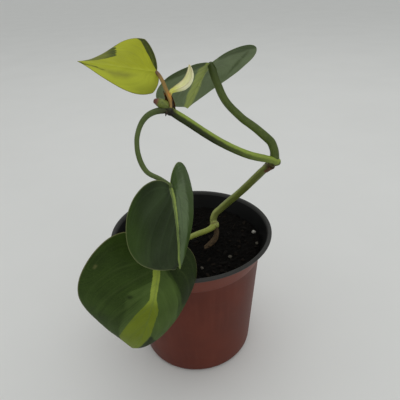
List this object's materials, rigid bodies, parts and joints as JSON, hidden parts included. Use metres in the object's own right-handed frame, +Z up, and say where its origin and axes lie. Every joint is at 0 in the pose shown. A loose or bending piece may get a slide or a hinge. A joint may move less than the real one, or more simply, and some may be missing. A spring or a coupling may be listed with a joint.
{
  "type": "potted brasil philodendron",
  "caption": "Young trailing heartleaf philodendron with lime-striped dark green leaves on a bent vine, growing in a small round brown plastic pot of dark soil",
  "frame": {"origin": "Centre of the pot's flat underside, on the surface that the pot stands on", "axes": "+Z up along the pot's axis; -Y is the plant's front, where the largest leaf hangs over the rim; +X is to the right seen from the front, where the vine makes its elbow"},
  "size_m": [0.0913, 0.1221, 0.1835],
  "materials": {
    "pot_plastic": "satin moulded plastic, brown outside, black inside and on the rolled rim",
    "soil": "rough, moist peat mix",
    "perlite": "chalky",
    "green_shoot": "smooth, waxy, satin",
    "brown_bark": "dry, matt, wrinkled",
    "stalk_yellow_green": "smooth, waxy, satin",
    "stalk_dark_olive": "smooth, waxy, satin",
    "stalk_olive": "smooth, waxy, satin",
    "stalk_tan": "smooth, slightly translucent",
    "leaf_1_variegated": "satin, dark green with lime and grey-green sectors",
    "leaf_2_variegated": "satin, dark green with a lime line",
    "leaf_3_variegated": "satin, green with a lime line, paler underside",
    "leaf_4_variegated": "satin, lime with dark green sectors",
    "pale_sheath": "thin, fleshy, satin",
    "dry_sheath": "papery, dry",
    "dry_collar": "papery, dry",
    "green_bud": "smooth, satin",
    "root_brown": "dry, matt"
  },
  "bodies": {
    "root": {"pot": "pot_plastic", "potting_soil": "soil", "perlite_1": "perlite", "perlite_2": "perlite", "perlite_3": "perlite", "perlite_4": "perlite", "vine_stem": "green_shoot", "old_cutting": "brown_bark", "petiole_1": "stalk_yellow_green", "petiole_2": "stalk_dark_olive", "petiole_3": "stalk_olive", "petiole_4": "stalk_tan", "leaf_1": "leaf_1_variegated", "leaf_2": "leaf_2_variegated", "leaf_3": "leaf_3_variegated", "leaf_4": "leaf_4_variegated", "cataphyll": "pale_sheath", "dried_sheath": "dry_sheath", "dried_collar": "dry_collar", "axillary_bud": "green_bud", "aerial_root": "root_brown"}
  },
  "joints": []
}
